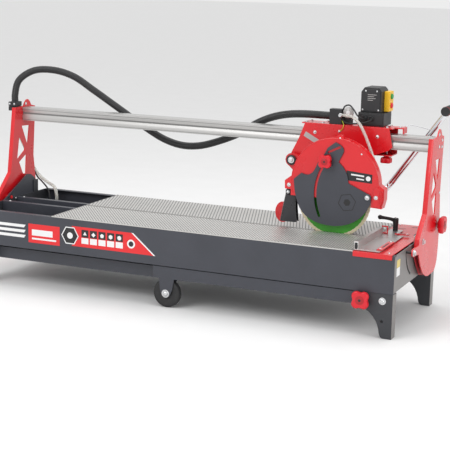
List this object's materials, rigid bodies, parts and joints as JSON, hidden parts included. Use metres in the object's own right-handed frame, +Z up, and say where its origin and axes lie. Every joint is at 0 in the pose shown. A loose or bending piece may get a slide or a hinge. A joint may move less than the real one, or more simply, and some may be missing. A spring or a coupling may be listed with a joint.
{
  "type": "wet tile saw",
  "caption": "Bridge-type wet tile saw: a cutting head with blade, guard and motor runs on a tilting rail over a slotted table, on a tray frame with folding wheeled legs.",
  "frame": {"origin": "middle of the footprint of everything but the free cords, at floor level", "axes": "+X runs along the bridge toward the handle, +Y from the operator's side to the back, +Z up"},
  "size_m": [1.633, 0.536, 0.7385],
  "materials": {
    "slate_paint": "semi-gloss powder coat",
    "grey_paint": "semi-gloss powder coat",
    "red_paint": "gloss powder coat",
    "table_metal": "brushed",
    "rail_metal": "anodised extrusion",
    "black_plastic": "fine grain",
    "motor_shell": "fine grain",
    "red_plastic": "moulded",
    "green_plastic": "moulded",
    "yellow_plastic": "moulded",
    "black_rubber": "matt",
    "tyre_rubber": "matt",
    "bright_steel": "turned",
    "blade_core": "satin, sintered rim",
    "bright_tube": "polished",
    "clear_hose": "smooth"
  },
  "bodies": {
    "frame": {"front_side_panel": "slate_paint", "back_side_panel": "slate_paint", "left_end_panel": "grey_paint", "right_end_panel": "grey_paint", "front_mid_rail": "slate_paint", "back_mid_rail": "slate_paint", "water_tray": "black_plastic", "front_table": "table_metal", "back_table": "table_metal", "end_plate": "red_paint", "left_tilt_bracket": "slate_paint", "water_pump": "black_plastic", "right_front_foot": "slate_paint", "right_back_foot": "slate_paint", "left_front_foot": "slate_paint", "left_back_foot": "slate_paint"},
    "right_leg": {"right_leg_frame": "slate_paint"},
    "left_leg": {"left_leg_frame": "slate_paint"},
    "front_wheel": {"front_tyre": "tyre_rubber", "front_hub": "bright_steel"},
    "back_wheel": {"back_tyre": "tyre_rubber", "back_hub": "bright_steel"},
    "right_front_knob": {"right_front_lock_knob": "red_plastic"},
    "right_back_knob": {"right_back_lock_knob": "red_plastic"},
    "left_front_knob": {"left_front_lock_knob": "red_plastic"},
    "left_back_knob": {"left_back_lock_knob": "red_plastic"},
    "bridge": {"bridge_rail": "rail_metal", "right_tower": "red_paint", "left_tower": "red_paint", "left_conduit_clamp": "black_plastic", "conduit": "black_rubber", "pump_hose": "clear_hose", "pump_cable": "black_rubber"},
    "right_tilt": {"right_tilt_knob": "red_plastic"},
    "left_tilt": {"left_tilt_knob": "red_plastic"},
    "carriage": {"carriage_front_plate": "red_paint", "carriage_saddle": "red_paint", "switch_box": "black_plastic", "switch_panel": "yellow_plastic", "conduit_block": "black_plastic", "head_hose": "clear_hose"},
    "left_roller_body": {"left_roller": "bright_steel"},
    "right_roller_body": {"right_roller": "bright_steel"},
    "start": {"start_button": "green_plastic"},
    "stop": {"stop_button": "red_plastic"},
    "valve": {"water_valve_knob": "grey_paint"},
    "slide_lock": {"slide_lock_knob": "red_plastic"},
    "head": {"head_arm": "red_paint", "motor_housing": "motor_shell", "blade_guard": "red_paint", "splash_skirt": "black_rubber", "handle_tube": "bright_tube", "handle_grip": "black_plastic"},
    "cover": {"side_cover": "slate_paint"},
    "cover_knob": {"guard_knob": "red_plastic"},
    "blade_set": {"blade": "blade_core", "arbor_shaft": "bright_steel", "arbor_nut": "bright_steel"},
    "fence_body": {"fence": "rail_metal"},
    "lever": {"fence_lever": "black_plastic"}
  },
  "joints": [
    {"name": "bridge_tilt", "type": "hinge", "parent": "frame", "child": "bridge", "pos_m": [0.0005, -0.012, 0.2673], "axis": [1, 0, 0], "range_deg": [0, 45], "deforming": ["pump_hose", "pump_cable"]},
    {"name": "carriage_slide", "type": "slide", "parent": "bridge", "child": "carriage", "axis": [-1, 0, 0], "range_m": [0, 1], "deforming": ["conduit"]},
    {"name": "head_plunge", "type": "hinge", "parent": "carriage", "child": "head", "pos_m": [0.3045, 0.09, 0.482], "axis": [0, -1, 0], "range_deg": [0, 15], "deforming": ["head_hose"]},
    {"name": "blade_spin", "type": "hinge", "parent": "head", "child": "blade_set", "pos_m": [0.4865, -0.012, 0.3763], "axis": [0, 1, 0], "continuous": true},
    {"name": "cover_swing", "type": "hinge", "parent": "head", "child": "cover", "pos_m": [0.6055, -0.032, 0.3963], "axis": [0, 1, 0], "range_deg": [0, 60]},
    {"name": "cover_knob_turn", "type": "hinge", "parent": "head", "child": "cover_knob", "pos_m": [0.4635, -0.05, 0.5043], "axis": [0, -1, 0], "range_deg": [0, 360]},
    {"name": "left_roller_roll", "type": "hinge", "parent": "carriage", "child": "left_roller_body", "pos_m": [0.3705, 0.122, 0.5943], "axis": [0, -1, 0], "continuous": true},
    {"name": "right_roller_roll", "type": "hinge", "parent": "carriage", "child": "right_roller_body", "pos_m": [0.5955, 0.122, 0.5943], "axis": [0, -1, 0], "continuous": true},
    {"name": "start_press", "type": "slide", "parent": "carriage", "child": "start", "axis": [-1, 0, 0], "range_m": [0, 0.003], "stiffness_N_per_m": 300, "springref_m": -0.003},
    {"name": "stop_press", "type": "slide", "parent": "carriage", "child": "stop", "axis": [-1, 0, 0], "range_m": [0, 0.003], "stiffness_N_per_m": 300, "springref_m": -0.003},
    {"name": "water_valve_turn", "type": "hinge", "parent": "carriage", "child": "valve", "pos_m": [0.4825, 0.109, 0.648], "axis": [0, -1, 0], "range_deg": [0, 90]},
    {"name": "slide_lock_turn", "type": "hinge", "parent": "carriage", "child": "slide_lock", "pos_m": [0.6155, 0.122, 0.5], "axis": [0, 0, -1], "range_deg": [0, 360]},
    {"name": "right_tilt_turn", "type": "hinge", "parent": "bridge", "child": "right_tilt", "pos_m": [0.7955, 0.155, 0.2943], "axis": [1, 0, 0], "range_deg": [0, 360]},
    {"name": "left_tilt_turn", "type": "hinge", "parent": "bridge", "child": "left_tilt", "pos_m": [-0.7945, 0.155, 0.2943], "axis": [-1, 0, 0], "range_deg": [0, 360]},
    {"name": "right_leg_fold", "type": "hinge", "parent": "frame", "child": "right_leg", "pos_m": [0.7325, 0, 0.119], "axis": [0, -1, 0], "range_deg": [0, 90]},
    {"name": "left_leg_fold", "type": "hinge", "parent": "frame", "child": "left_leg", "pos_m": [-0.7315, 0, 0.108], "axis": [0, 1, 0], "range_deg": [0, 90]},
    {"name": "front_wheel_roll", "type": "hinge", "parent": "right_leg", "child": "front_wheel", "pos_m": [-0.0125, -0.2215, 0.0483], "axis": [0, 1, 0], "continuous": true},
    {"name": "back_wheel_roll", "type": "hinge", "parent": "right_leg", "child": "back_wheel", "pos_m": [-0.0125, 0.2215, 0.0483], "axis": [0, 1, 0], "continuous": true},
    {"name": "right_front_lock_turn", "type": "hinge", "parent": "frame", "child": "right_front_knob", "pos_m": [0.6675, -0.25, 0.119], "axis": [0, -1, 0], "range_deg": [0, 360]},
    {"name": "right_back_lock_turn", "type": "hinge", "parent": "frame", "child": "right_back_knob", "pos_m": [0.6675, 0.25, 0.119], "axis": [0, 1, 0], "range_deg": [0, 360]},
    {"name": "left_front_lock_turn", "type": "hinge", "parent": "frame", "child": "left_front_knob", "pos_m": [-0.6665, -0.15, 0.108], "axis": [0, 1, 0], "range_deg": [0, 360]},
    {"name": "left_back_lock_turn", "type": "hinge", "parent": "frame", "child": "left_back_knob", "pos_m": [-0.6665, 0.15, 0.108], "axis": [0, -1, 0], "range_deg": [0, 360]},
    {"name": "fence_adjust", "type": "slide", "parent": "frame", "child": "fence_body", "axis": [1, 0, 0], "range_m": [-0.02, 0]},
    {"name": "fence_lever_turn", "type": "hinge", "parent": "fence_body", "child": "lever", "pos_m": [0.6655, 0.097, 0.29], "axis": [0, 0, 1], "range_deg": [0, 90]}
  ],
  "couplings": [
    {"joint": "left_roller_roll", "follows": "carriage_slide", "rad_per_m": 120.5},
    {"joint": "right_roller_roll", "follows": "carriage_slide", "rad_per_m": 120.5}
  ]
}
